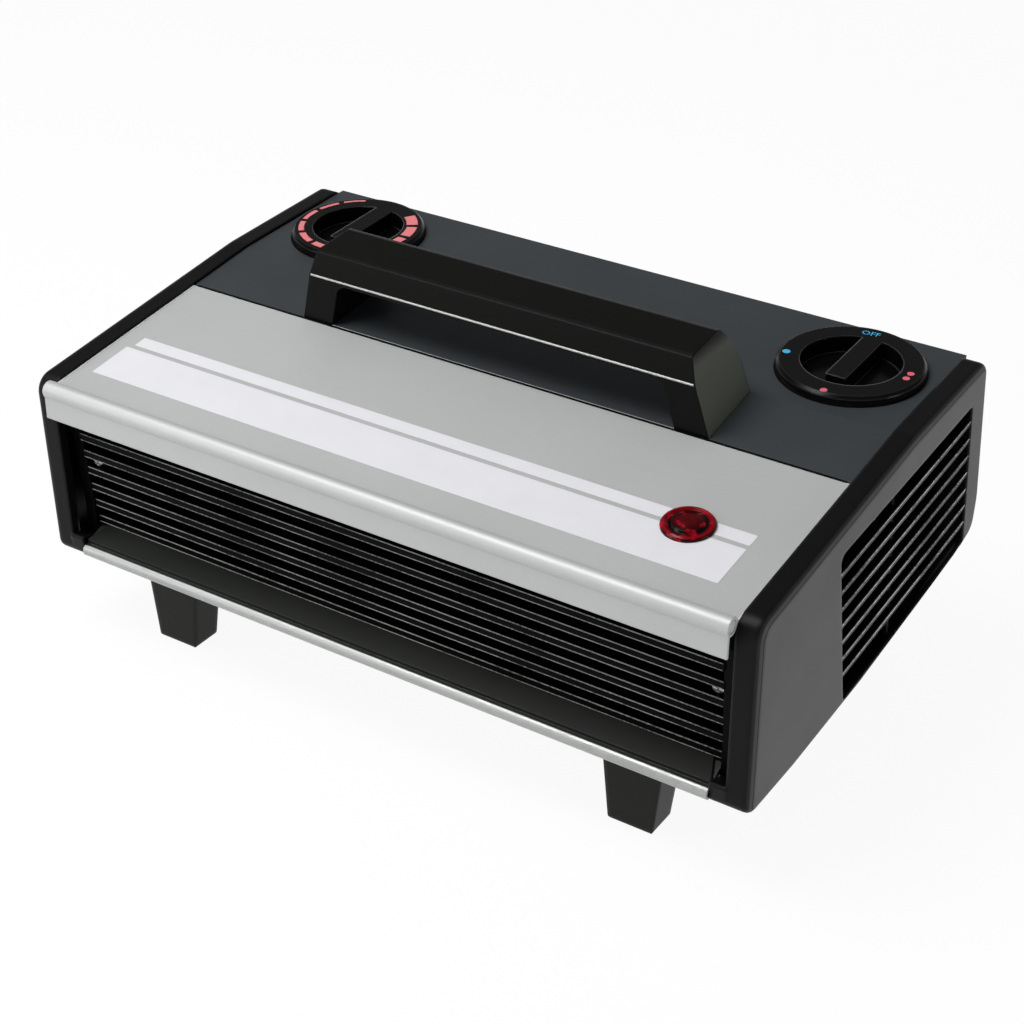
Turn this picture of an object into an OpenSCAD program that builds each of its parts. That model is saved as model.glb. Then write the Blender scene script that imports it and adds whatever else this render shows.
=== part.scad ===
// Fan convector heater: a low body between two moulded end caps, on four feet.
// X runs along the width, the outlet faces -Y, Z is up, and the floor is at zero.

/* [Body] */
// width between the inner faces of the end caps
body_w = 340; // [300:1:400]
// depth of an end cap from front to back
body_d = 225; // [200:1:250]
// height of the body at its front edge
front_h = 90; // [80:1:105]
// how much the top rises from the front edge to the crease
crease_rise = 17; // [12:1:22]
// how much the top rises from the crease to the rear edge
rear_rise = 3.5; // [2:0.5:6]
// distance of the crease behind the front edge
crease_y = 137.6; // [130:0.2:145]
// how far the feet lift the end caps off the floor
foot_h = 39; // [32:1:48]
// how far an end cap stands out sideways
cap_t = 11; // [8:0.5:15]

/* [Sheet and mouldings] */
// thickness of the steel sheet
sheet_t = 1.2; // [0.8:0.1:1.6]
// wall of the plastic mouldings
wall_t = 2.5; // [2:0.1:3.5]
// rim of an end cap seen from inside
rim_t = 5; // [4:0.2:7]
// rounding of an end cap's outer edge
cap_edge = 3.5; // [1:0.5:4]
// how far an end cap's rim stands above the panels
rim_up = 1.5; // [1:0.1:3]
// side gap between a panel and an end cap
side_gap = 0.2; // [0.1:0.05:0.5]
// depth of the silver front panel from nose to seam
panel_d = 97.8; // [90:0.2:105]
// width of the open seam between panel and cover
seam_gap = 1; // [0.6:0.1:2]
// radius of the rolled nose on the front panel
nose_r = 4; // [3:0.2:5]
// height of the turned-down flange under the nose
nose_flange = 10; // [7:0.5:13]

/* [Outlet] */
// number of louvre blades
blade_n = 6; // [4:1:7]
// height from one blade to the next
blade_pitch = 9.2; // [8:0.1:10]
// depth of a blade from front to back
blade_d = 11; // [9:0.5:12]
// thickness of a blade
blade_t = 1.2; // [1:0.1:1.6]
// height of the lip turned down along a blade's front edge
blade_lip = 3.5; // [2.5:0.1:4.5]
// slope of a blade, its front edge being the higher one
blade_tilt = 6; // [0:1:12]
// distance between upright stays
stay_pitch = 75; // [60:1:85]
// radius of the rolled rail at the foot of the outlet
rail_r = 3; // [2:0.2:4]

/* [Side inlets] */
// number of bars across one inlet
bar_n = 7; // [5:1:9]
// height of one bar
bar_t = 1.8; // [1.2:0.1:2.4]
// depth of one bar
bar_d = 5; // [3:0.5:7]

/* [Handle] */
// length of the handle along its top
handle_w = 190; // [160:1:210]
// height of the handle's top above the cover at its front foot
handle_h = 38; // [34:1:46]
// thickness of the grip from top to bottom
grip_t = 16; // [12:0.5:18]
// outward lean of the legs
leg_flare = 15; // [8:1:20]
// thickness of a leg
leg_t = 13; // [10:0.5:16]

/* [Controls] */
// radius of a control knob
knob_r = 32.5; // [28:0.5:35]
// distance of a knob's axis from the middle of the body
knob_x = 132; // [126:1:134]
// how far a knob's axis lies behind the middle of the deck
knob_shift = 2.2; // [0:0.2:4]
// height of a knob above the cover
knob_h = 4.6; // [3:0.2:7]
// depth of the finger well in a knob
well_d = 8; // [6:0.5:10]
// width of the grip bar across the well
grip_w = 9.5; // [7:0.5:12]
// radius of a control spindle
spindle_r = 3; // [2.5:0.1:3.5]
// radius of the indicator lens
lens_r = 11.2; // [9:0.2:13]
// distance of the lens from the middle of the body
lens_x = 126; // [110:1:140]
// distance of the lens behind the front edge
lens_y = 43.7; // [35:0.5:60]

/* [Fan] */
// radius of an impeller
fan_r = 30; // [26:0.5:32]
// length of an impeller's blades
fan_w = 58; // [45:1:62]
// number of blades on an impeller
fan_blades = 28; // [20:1:34]
// radius of the motor shaft
shaft_r = 3; // [2.5:0.1:4]
// radius of the motor's rotor
rotor_r = 15.6; // [13:0.2:17]
// length of the stator stack
stack_w = 24; // [18:1:28]

/* [Heater] */
// number of zigzags on a heating ribbon
ribbon_n = 34; // [20:1:44]
// height of a heating ribbon
ribbon_h = 10; // [7:0.5:12]
// thickness of a heating ribbon
ribbon_t = 0.5; // [0.4:0.1:0.8]

/* [Feet and lead] */
// width of a foot where it meets the floor
foot_w = 21; // [17:1:26]
// depth of a foot where it meets the floor
foot_d = 15; // [11:1:18]
// distance of a foot from the middle of the body
foot_x = 122; // [110:1:132]
// radius of the mains lead's passage through the gland
lead_r = 3.4; // [3:0.1:4.5]

/* [Fits] */
// running clearance of a shaft in its bush
run_fit = 0.05; // [0.02:0.01:0.1]
// clearance of a fixed pin in its hole
seat_fit = 0.02; // [0.01:0.01:0.05]
// clearance of a screw in its hole
screw_fit = 0.15; // [0.1:0.05:0.3]
// clearance round a piece that turns
turn_gap = 0.6; // [0.4:0.1:1]
// radius of a fixing screw
screw_r = 1.5; // [1.2:0.1:2]

/* [Hidden] */
$fn = 64;
eps = 0.5;
x_in = body_w / 2;
x_out = x_in + cap_t;
x_panel = x_in - side_gap;
lip_w = 7;
nose_out = nose_r + 2;
y_mid = (body_d - nose_out) / 2;
z_bot = foot_h;
z_front = z_bot + front_h;
z_crease = z_front + crease_rise;
z_rear = z_crease + rear_rise;
y_rear = body_d - 12;
front_slope = crease_rise / crease_y;
deck_slope = rear_rise / (y_rear - crease_y);
knob_y = (crease_y + y_rear) / 2 + knob_shift;
a_front = atan(front_slope);
a_deck = atan(deck_slope);
base_bot = z_bot + 11.5;
base_top = base_bot + sheet_t;
seam_y = panel_d + seam_gap;
cover_back = y_rear - 1;
back_y = cover_back - wall_t - sheet_t;

// height of the panels' upper surface at a distance behind the front edge
function surf(y) = y < crease_y
    ? z_front - rim_up + y * front_slope
    : z_crease - rim_up + (y - crease_y) * deck_slope;

// vectors and rounded convex outlines
function unit(v) = v / norm(v);
function prev(p, i) = p[(i + len(p) - 1) % len(p)];
function next(p, i) = p[(i + 1) % len(p)];
function back(p, i) = unit(prev(p, i) - p[i]);
function ahead(p, i) = unit(next(p, i) - p[i]);
function half_angle(p, i) = acos(back(p, i) * ahead(p, i)) / 2;
function middle(p, i, d) = p[i] + unit(back(p, i) + ahead(p, i)) * d / sin(half_angle(p, i));
function inset(p, d) = [for (i = [0 : len(p) - 1]) middle(p, i, d)];

// points of one rounded corner
function corner(p, r, i) =
    let (run = r / tan(half_angle(p, i)),
        c = middle(p, i, r),
        u = p[i] + back(p, i) * run - c,
        v = p[i] + ahead(p, i) * run - c,
        turn = atan2(u[0] * v[1] - u[1] * v[0], u * v),
        n = max(2, ceil(abs(turn) / 7.5)),
        a = atan2(u[1], u[0]))
    [for (k = [0 : n]) c + r * [cos(a + turn * k / n), sin(a + turn * k / n)]];

module rounded(p, r) {
    polygon([for (i = [0 : len(p) - 1]) each corner(p, r[i], i)]);
}

// a strip between two lines that share their distances
function strip(ys, lift, depth) = concat(
    [for (y = ys) [y, surf(y) + lift]],
    [for (i = [len(ys) - 1 : -1 : 0]) [ys[i], surf(ys[i]) + lift - depth]]);

// placing helpers
module along_x(x0, x1) {
    translate([x0, -y_mid, 0])
        rotate([90, 0, 90])
            linear_extrude(x1 - x0)
                children();
}
module along_y(y0, y1) {
    translate([0, y1 - y_mid, 0])
        rotate([90, 0, 0])
            linear_extrude(y1 - y0)
                children();
}
module block(x0, x1, y0, y1, z0, z1) {
    translate([x0, y0 - y_mid, z0])
        cube([x1 - x0, y1 - y0, z1 - z0]);
}
module rod_x(x0, x1, y, z, r) {
    translate([x0, y - y_mid, z])
        rotate([0, 90, 0])
            cylinder(h = x1 - x0, r = r);
}
module rod_y(x, y0, y1, z, r) {
    translate([x, y1 - y_mid, z])
        rotate([90, 0, 0])
            cylinder(h = y1 - y0, r = r);
}
module rod_z(x, y, z0, z1, r) {
    translate([x, y - y_mid, z0])
        cylinder(h = z1 - z0, r = r);
}
module on_front(x, y) {
    translate([x, y - y_mid, surf(y)])
        rotate([a_front, 0, 0])
            children();
}
module on_deck(x, y) {
    translate([x, y - y_mid, surf(y)])
        rotate([a_deck, 0, 0])
            children();
}
module tube(r_out, r_in, z0, z1) {
    difference() {
        translate([0, 0, z0])
            cylinder(h = z1 - z0, r = r_out);
        translate([0, 0, z0 - eps])
            cylinder(h = z1 - z0 + 2 * eps, r = r_in);
    }
}

// outline of an end cap seen from the side
cap_p = [
    [0, z_front],
    [crease_y, z_crease],
    [y_rear, z_rear],
    [body_d, z_bot + 37],
    [body_d - 1.5, z_bot + 20],
    [body_d - 19, z_bot + 15],
    [body_d * 0.46, z_bot + 3.5],
    [body_d * 0.18, z_bot],
    [2.5, z_bot]];
cap_r = [9, 40, 6, 30, 9, 30, 60, 60, 5];
cap_inner_r = [4, 40, 3, 25, 4, 25, 60, 60, 3];

// inlet opening of an end cap, and the slope of its bars
inlet_p = [
    [body_d * 0.3, surf(body_d * 0.3) - 11],
    [body_d * 0.885, surf(body_d * 0.885) - 14],
    [body_d * 0.94, z_bot + 17],
    [body_d * 0.382, z_bot + 6]];
inlet_r = [4, 2.5, 5, 2.5];
bar_slope = 4.5;
bar_foot = z_bot + 19;
bar_pitch = (surf(body_d * 0.3) - 11 - bar_foot) / (bar_n + 0.2);
bar_y = body_d * 0.36;

// screw places shared by the pieces they join
cap_screw_y = [30, 56];
cap_screw_z = base_top + 8;
end_flange = 14;
back_flange = 14;
back_screw_x = [-x_in * 0.82, -x_in * 0.25, x_in * 0.25, x_in * 0.82];
back_screw_z = base_top + back_flange / 2 + 1;

// fixing screw along +Z, head down at zero, and the room left round a head
head_r = 2.8;
head_h = 1.8;
head_gap = 0.4;
module screw(long) {
    difference() {
        union() {
            translate([0, 0, -head_h])
                cylinder(h = head_h, r = head_r);
            cylinder(h = long, r = screw_r);
        }
        translate([-head_r * 0.7, -0.4, -head_h - eps])
            cube([head_r * 1.4, 0.8, head_h * 0.5 + eps]);
        translate([-0.4, -head_r * 0.7, -head_h - eps])
            cube([0.8, head_r * 1.4, head_h * 0.5 + eps]);
    }
}

// ledge under the panels, carried by an end cap
module cap_ledge() {
    along_x(x_in - 5, x_in + eps)
        polygon(strip([10, panel_d - 2], -sheet_t, wall_t));
    along_x(x_in - 5, x_in + eps)
        polygon(strip([seam_y + tab_d + 2, crease_y, y_rear - 8], -wall_t, wall_t));
}

// lip that carries the cap's lower front corner inward over the outlet's end
lip_back = 11;
module cap_lip() {
    along_x(x_in - lip_w, x_in + eps)
        rounded([
            [0.8, z_bot + 12],
            [lip_back, z_bot + 9],
            [lip_back, z_bot + 0.5],
            [3.2, z_bot + 0.5]], [1, 0.8, 0.8, 4]);
}

// outer form of an end cap, drawn in along a quarter round at its outer edge
edge_steps = 4;
module cap_form() {
    hull()
        for (k = [0 : edge_steps]) {
            x = x_out - cap_edge * (1 - sin(90 * k / edge_steps));
            drawn = cap_edge * (1 - cos(90 * k / edge_steps));
            along_x(k == 0 ? x_in : x - eps, x)
                rounded(inset(cap_p, drawn), [for (r = cap_r) max(r - drawn, 1)]);
        }
}

module end_cap_shape() {
    difference() {
        union() {
            cap_form();
            cap_lip();
            cap_ledge();
        }
        along_x(x_in + 3, x_out - wall_t)
            rounded(inset(cap_p, wall_t), cap_inner_r);
        along_x(x_in - eps, x_in + 3.5)
            rounded(inset(cap_p, rim_t), cap_inner_r);
        along_x(x_out - wall_t - eps, x_out + eps)
            rounded(inlet_p, inlet_r);
    }
    intersection() {
        along_x(x_out - bar_d, x_out - 0.4)
            rounded(inset(inlet_p, -1), [3, 2, 4, 2]);
        union() {
            for (i = [0 : bar_n - 1])
                along_x(x_out - bar_d, x_out - 0.4)
                    translate([bar_y, bar_foot + i * bar_pitch])
                        rotate(bar_slope)
                            translate([-body_d / 2, 0])
                                square([body_d * 1.3, bar_t]);
            along_x(x_out - bar_d, x_out - bar_d + 1.6)
                translate([body_d * 0.64, 0])
                    rotate(9)
                        square([bar_t, 3 * front_h]);
        }
    }
    for (y = cap_screw_y)
        difference() {
            rod_x(x_panel, x_out - wall_t + eps, y, cap_screw_z, 4);
            rod_x(x_panel - eps, x_out - wall_t - 1, y, cap_screw_z, screw_r + screw_fit);
        }
}
module left_end_cap() {
    color([0.16, 0.17, 0.17])
        mirror([1, 0, 0])
            end_cap_shape();
}
module right_end_cap() {
    color([0.16, 0.17, 0.17])
        end_cap_shape();
}

// silver sheet with a rolled nose, a turned-down flange and a tab under the cover
tab_d = 10;
nose_y = -2;
sheet_y = nose_y + nose_r - sheet_t / 2;
module front_panel() {
    color([0.73, 0.74, 0.73])
        difference() {
            union() {
                along_x(-x_panel, x_panel)
                    polygon([
                        [sheet_y, surf(sheet_y)],
                        [panel_d, surf(panel_d)],
                        [panel_d, surf(panel_d) - wall_t],
                        [panel_d + tab_d, surf(panel_d + tab_d) - wall_t],
                        [panel_d + tab_d, surf(panel_d + tab_d) - wall_t - sheet_t],
                        [panel_d - sheet_t, surf(panel_d - sheet_t) - wall_t - sheet_t],
                        [panel_d - sheet_t, surf(panel_d - sheet_t) - sheet_t],
                        [sheet_y, surf(sheet_y) - sheet_t]]);
                along_x(-x_panel, x_panel)
                    translate([nose_y, surf(nose_y)])
                        difference() {
                            circle(nose_r);
                            circle(nose_r - sheet_t);
                        }
                along_x(-x_panel, x_panel)
                    translate([nose_y - nose_r + 1, surf(nose_y) - nose_flange - nose_r + 1])
                        square([sheet_t, nose_flange + 1.2]);
            }
            on_front(lens_x, lens_y)
                translate([0, 0, -10])
                    cylinder(h = 20, r = lens_r - 3 + screw_fit);
        }
}

// dark cover with two round wells for the knobs and a rear flange
cup_r = knob_r - 8.8;
well_r = cup_r - 1.5;
floor_z = -15;
bush_r = 4.5;
leg_x = handle_w / 2 + (handle_h - grip_t) * tan(leg_flare) - leg_t / 2 - 1;
leg_y = seam_y + 17;
cover_lip = 3;
module cover_profile() {
    polygon(strip([seam_y, crease_y, cover_back + cover_lip], 0, wall_t));
    translate([cover_back - wall_t, surf(cover_back) - 20])
        square([wall_t, 19]);
}
module top_cover() {
    color([0.26, 0.275, 0.285])
        difference() {
            union() {
                along_x(-x_panel, x_panel)
                    cover_profile();
                for (s = [-1, 1])
                    on_deck(s * knob_x, knob_y)
                        translate([0, 0, floor_z - 2])
                            cylinder(h = -floor_z + 1, r = cup_r + turn_gap + 2);
            }
            for (s = [-1, 1])
                on_deck(s * knob_x, knob_y) {
                    translate([0, 0, floor_z])
                        cylinder(h = -floor_z + 5, r = cup_r + turn_gap);
                    translate([0, 0, floor_z - 5])
                        cylinder(h = 10, r = bush_r + screw_fit);
                }
            for (s = [-1, 1])
                rod_z(s * leg_x, leg_y, surf(leg_y) - 10, surf(leg_y) + 5, screw_r + screw_fit);
        }
}

// sheet steel tray with a rolled front rail and turned-up flanges
apron_t = 1.6;
apron_lap = 3;
apron_low = [4, base_top - 3.1];
apron_high = [14, base_top + apron_t];
rail_y = apron_low[0] - 0.6;
rail_z = apron_low[1] - apron_t - rail_r - 0.15;
module base_tray() {
    color([0.6, 0.61, 0.6])
        difference() {
            union() {
                block(-x_panel, x_panel, apron_high[0], back_y, base_bot, base_top);
                along_x(-x_in + lip_w + side_gap, x_in - lip_w - side_gap)
                    union() {
                        polygon([
                            apron_low - [0, apron_t],
                            apron_high - [0, apron_t],
                            apron_high - [-eps, apron_t],
                            apron_high - [-eps, apron_t + sheet_t],
                            apron_high - [0, apron_t + sheet_t],
                            apron_low - [0, apron_t + sheet_t * 1.2]]);
                        translate([rail_y, rail_z])
                            difference() {
                                circle(rail_r);
                                circle(rail_r - sheet_t);
                            }
                    }
                for (s = [0, 1])
                    mirror([s, 0, 0])
                        block(x_panel - sheet_t, x_panel, 20, body_d * 0.3, base_bot, base_top + end_flange);
                block(-x_panel, x_panel, back_y - sheet_t, back_y, base_bot, base_top + back_flange);
            }
            for (s = [0, 1])
                mirror([s, 0, 0])
                    for (y = cap_screw_y)
                        rod_x(x_panel - 5, x_panel + eps, y, cap_screw_z, screw_r + screw_fit);
            for (x = back_screw_x)
                rod_y(x, back_y - 5, back_y + eps, back_screw_z, screw_r + screw_fit);
            for (x = [-foot_x, foot_x], y = foot_ys)
                rod_z(x, y, base_bot - 5, base_top + 5, screw_r + screw_fit);
        }
}

// sloping plate between the rail and the lowest blade, ends cut on the slant
module front_apron() {
    half = x_in - lip_w - side_gap;
    color([0.165, 0.18, 0.17])
        intersection() {
            along_x(-half, half)
                polygon([
                    apron_low,
                    apron_high,
                    apron_high + [apron_lap, 0],
                    apron_high + [apron_lap, -apron_t],
                    apron_high - [0, apron_t],
                    apron_low - [0, apron_t]]);
            translate([0, -y_mid, base_bot - 10])
                linear_extrude(30)
                    rounded([
                        [-half, apron_low[0] - 0.2],
                        [-half + 6, apron_high[0] + 4],
                        [half - 6, apron_high[0] + 4],
                        [half, apron_low[0] - 0.2]], [0.6, 4, 4, 0.6]);
        }
}

// outlet louvre: two end plates, sloping blades and upright stays
grille_back = 26;
grille_top = z_front - rim_up - sheet_t - 12;
blade_gap = 0.3;
blade_low = base_top + apron_t + blade_lip + blade_gap;
blade_lean = 1.3;
grille_x0 = x_in - lip_w;
grille_x1 = x_in - 1.5;
tab_z = blade_low + 3.5 * blade_pitch - blade_lip / 2;
stay_foot = apron_high[0] + apron_lap + side_gap;
stay_d = 5;
module grille_blade(i) {
    slope = tan(blade_tilt);
    translate([13.5 - i * blade_lean, blade_low + i * blade_pitch])
        polygon([
            [0, 0],
            [blade_d, -blade_d * slope],
            [blade_d, -blade_d * slope - blade_t],
            [blade_t, -blade_t * slope - blade_t],
            [blade_t, -blade_lip],
            [0, -blade_lip]]);
}
// end plate, with a toe that closes the slot between the tray and a cap's lip
module grille_side() {
    polygon([
        [lip_back + side_gap, z_bot + 4],
        [lip_back + side_gap, base_top + apron_t + 10],
        [7, grille_top - 4],
        [9, grille_top],
        [grille_back, grille_top],
        [grille_back, base_top],
        [apron_high[0] - side_gap, base_top],
        [apron_high[0] - side_gap, z_bot + 4]]);
}
module outlet_grille() {
    color([0.07, 0.07, 0.075])
        difference() {
            union() {
                for (s = [0, 1])
                    mirror([s, 0, 0]) {
                        along_x(grille_x0, grille_x1)
                            grille_side();
                        block(grille_x0 - 8, grille_x0 + eps, 14, grille_back, tab_z - 4, tab_z + 4);
                    }
                for (i = [0 : blade_n - 1])
                    along_x(-grille_x0 - eps, grille_x0 + eps)
                        grille_blade(i);
                for (x = [-1.5 : 1 : 1.5])
                    along_x(x * stay_pitch - 0.8, x * stay_pitch + 0.8)
                        polygon([
                            [stay_foot, base_top + apron_t],
                            [stay_foot, base_top + apron_t / 2],
                            [stay_foot + stay_d, base_top + apron_t / 2],
                            [14.5, grille_top - 3],
                            [9.5, grille_top - 3]]);
                along_x(-grille_x0 - eps, grille_x0 + eps)
                    translate([9, grille_top - 4])
                        square([grille_back - 9, 4]);
                along_x(-grille_x0 - eps, grille_x0 + eps)
                    translate([apron_high[0] + apron_lap, base_top])
                        square([grille_back - apron_high[0] - apron_lap, apron_t + 0.6]);
            }
            for (s = [-1, 1]) {
                rod_y(s * (grille_x0 - 4), 5, grille_back + 5, tab_z, screw_r + screw_fit);
                rod_y(s * (grille_x0 - 4), 2, 14, tab_z, head_r + head_gap);
                rod_z(s * foot_x, foot_ys[0], base_top - 1, base_top + head_h + head_gap, head_r + head_gap);
            }
        }
}
module grille_screws() {
    color([0.7, 0.7, 0.7])
        for (s = [-1, 1])
            translate([s * (grille_x0 - 4), 14 - y_mid, tab_z])
                rotate([-90, 0, 0])
                    screw(grille_back - 14 + 4);
}

// plain sheet at the back with two rows of vents and a hole for the gland
gland_x = -x_in * 0.65;
gland_z = base_top + 26;
gland_r = lead_r + 2.6;
module rear_panel() {
    color([0.22, 0.23, 0.235])
        difference() {
            block(-x_panel, x_panel, back_y, back_y + sheet_t, base_bot, surf(cover_back) - wall_t - 1);
            for (s = [-1, 1], i = [0 : 8], j = [0, 1])
                block(s * (18 + i * 9) - 1.5, s * (18 + i * 9) + 1.5,
                    back_y - eps, back_y + sheet_t + eps,
                    base_top + 22 + j * 20, base_top + 37 + j * 20);
            rod_y(gland_x, back_y - eps, back_y + sheet_t + eps, gland_z, gland_r + screw_fit);
            for (x = back_screw_x)
                rod_y(x, back_y - 1, back_y + sheet_t + eps, back_screw_z, screw_r + screw_fit);
        }
}
module rear_screws() {
    color([0.7, 0.7, 0.7])
        for (x = back_screw_x)
            translate([x, back_y + sheet_t - y_mid, back_screw_z])
                rotate([90, 0, 0])
                    screw(6);
}
module cap_screws() {
    color([0.7, 0.7, 0.7])
        for (s = [0, 1], y = cap_screw_y)
            mirror([s, 0, 0])
                translate([x_panel - sheet_t, y - y_mid, cap_screw_z])
                    rotate([0, 90, 0])
                        screw(sheet_t + cap_t - wall_t - 1.5);
}

// bridge handle: side profile crossed with a flared front view
handle_y = seam_y - 2.6;
module handle_profile() {
    z0 = surf(seam_y);
    polygon([
        [seam_y, surf(seam_y)],
        [crease_y, surf(crease_y)],
        [crease_y - 2, z0 + handle_h - 20],
        [crease_y - 9, z0 + handle_h - 5],
        [crease_y - 14.5, z0 + handle_h - 0.4],
        [crease_y - 17, z0 + handle_h],
        [handle_y + 4.5, z0 + handle_h - 2],
        [handle_y + 2.2, z0 + handle_h - 3],
        [handle_y, z0 + handle_h - 14]]);
}
module handle_front() {
    z0 = surf(seam_y);
    z1 = z0 + handle_h;
    low = handle_w / 2 + (handle_h + 4) * tan(leg_flare);
    gap_top = z1 - grip_t;
    gap_high = handle_w / 2 - leg_t + 1;
    gap_low = gap_high + (gap_top - z0 + 4) * tan(leg_flare);
    difference() {
        polygon([[-low, z0 - 4], [-handle_w / 2, z1], [handle_w / 2, z1], [low, z0 - 4]]);
        rounded([
            [-gap_low, z0 - 4],
            [-gap_high, gap_top],
            [gap_high, gap_top],
            [gap_low, z0 - 4]], [0.5, 6, 6, 0.5]);
    }
}
module carry_handle() {
    color([0.12, 0.125, 0.125])
        difference() {
            intersection() {
                along_x(-handle_w, handle_w)
                    handle_profile();
                along_y(handle_y - 5, crease_y + 5)
                    handle_front();
            }
            for (s = [-1, 1])
                rod_z(s * leg_x, leg_y, surf(leg_y) - 20, surf(leg_y) + 14, screw_r + screw_fit);
            along_x(-handle_w / 2 + leg_t + 8, handle_w / 2 - leg_t - 8)
                translate([handle_y + 15, surf(seam_y) + handle_h - grip_t])
                    circle(6);
        }
}
module handle_screws() {
    color([0.7, 0.7, 0.7])
        for (s = [-1, 1])
            translate([s * leg_x, leg_y - y_mid, surf(leg_y) - wall_t - 0.45])
                screw(12);
}

// tapered feet
foot_ys = [15 + foot_d / 2, body_d - 40];
foot_top = base_bot;
foot_flare = 3;
flare_z = foot_top * 0.6;
module foot(s, y) {
    intersection() {
        along_y(0, body_d)
            translate([s * foot_x, 0])
                rounded([
                    [-foot_w / 2, 0],
                    [-foot_w / 2 - foot_flare, flare_z],
                    [-foot_w / 2 - foot_flare, foot_top],
                    [foot_w / 2 + foot_flare, foot_top],
                    [foot_w / 2 + foot_flare, flare_z],
                    [foot_w / 2, 0]], [2.5, 8, 0.5, 0.5, 8, 2.5]);
        difference() {
            along_x(s * foot_x - foot_w, s * foot_x + foot_w)
                rounded([
                    [y - foot_d / 2, 0],
                    [y - foot_d / 2 - 1, foot_top],
                    [y + foot_d / 2 + foot_flare, foot_top],
                    [y + foot_d / 2, 0]], [2, 0.5, 0.5, 2]);
            rod_z(s * foot_x, y, foot_top - 16, foot_top + 1, screw_r + screw_fit);
        }
    }
}
module front_left_foot() {
    color([0.2, 0.2, 0.195]) foot(-1, foot_ys[0]);
}
module front_right_foot() {
    color([0.2, 0.2, 0.195]) foot(1, foot_ys[0]);
}
module rear_left_foot() {
    color([0.2, 0.2, 0.195]) foot(-1, foot_ys[1]);
}
module rear_right_foot() {
    color([0.2, 0.2, 0.195]) foot(1, foot_ys[1]);
}
module foot_screws() {
    color([0.7, 0.7, 0.7])
        for (s = [-1, 1], y = foot_ys)
            translate([s * foot_x, y - y_mid, base_top])
                rotate([180, 0, 0])
                    screw(14);
}

// control knob: legend flange, sunk finger well, grip bar and hub
hub_low = floor_z + 3.5;
well_floor = knob_h - well_d;
module knob() {
    difference() {
        union() {
            rotate_extrude()
                polygon([
                    [0, turn_gap],
                    [knob_r - 0.8, turn_gap],
                    [knob_r, turn_gap + 0.8],
                    [knob_r, knob_h - 1.4],
                    [knob_r - 1.4, knob_h],
                    [0, knob_h]]);
            translate([0, 0, well_floor - 2])
                cylinder(h = 3 - well_floor, r = cup_r);
            translate([0, 0, hub_low])
                cylinder(h = -hub_low, r = spindle_r + 3);
        }
        difference() {
            translate([0, 0, well_floor])
                cylinder(h = well_d + eps, r = well_r);
            translate([-grip_w / 2, -well_r + 6, well_floor - eps])
                cube([grip_w, 2 * well_r, well_d + eps]);
        }
        translate([0, 0, hub_low - eps])
            difference() {
                cylinder(h = spindle_top - hub_low + eps + 0.3, r = spindle_r + seat_fit);
                translate([spindle_r * 0.5 + seat_fit, -spindle_r * 2, -eps])
                    cube([spindle_r * 2, spindle_r * 4, 40]);
            }
    }
}
spindle_top = well_floor - 1.2;
body_top = floor_z - 2;
body_h = 20;
module spindle() {
    difference() {
        translate([0, 0, body_top - body_h + 6])
            cylinder(h = spindle_top - body_top + body_h - 6, r = spindle_r);
        translate([spindle_r * 0.5, -spindle_r * 2, hub_low - 0.4])
            cube([spindle_r * 2, spindle_r * 4, 40]);
    }
}
module control_nut() {
    translate([0, 0, floor_z])
        difference() {
            cylinder(h = 2.4, r = 8, $fn = 6);
            translate([0, 0, -eps])
                cylinder(h = 4, r = bush_r + seat_fit);
        }
}
module control_body(w) {
    difference() {
        union() {
            translate([-w / 2, -w / 2, body_top - body_h])
                cube([w, w, body_h]);
            translate([0, 0, body_top - 1])
                cylinder(h = floor_z - body_top + 4, r = bush_r);
        }
        translate([0, 0, body_top - body_h + 5.5])
            cylinder(h = body_h + 20, r = spindle_r + run_fit);
    }
}
module thermostat_knob() {
    color([0.13, 0.13, 0.14]) on_deck(-knob_x, knob_y) knob();
}
module selector_knob() {
    color([0.13, 0.13, 0.14]) on_deck(knob_x, knob_y) knob();
}
module thermostat_spindle() {
    color([0.75, 0.7, 0.5]) on_deck(-knob_x, knob_y) spindle();
}
module selector_spindle() {
    color([0.75, 0.7, 0.5]) on_deck(knob_x, knob_y) spindle();
}
module thermostat_nut() {
    color([0.75, 0.75, 0.72]) on_deck(-knob_x, knob_y) control_nut();
}
module selector_nut() {
    color([0.75, 0.75, 0.72]) on_deck(knob_x, knob_y) control_nut();
}
module thermostat_body() {
    color([0.85, 0.82, 0.72])
        on_deck(-knob_x, knob_y) {
            control_body(26);
            translate([-10, -19, body_top - 12])
                cube([20, 6.5, 3]);
        }
}
module selector_switch() {
    color([0.15, 0.15, 0.15])
        on_deck(knob_x, knob_y) {
            control_body(28);
            for (i = [-1 : 1])
                translate([i * 8 - 2.4, -3, body_top - body_h - 8])
                    cube([4.8, 0.8, 8.5]);
        }
}

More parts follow.
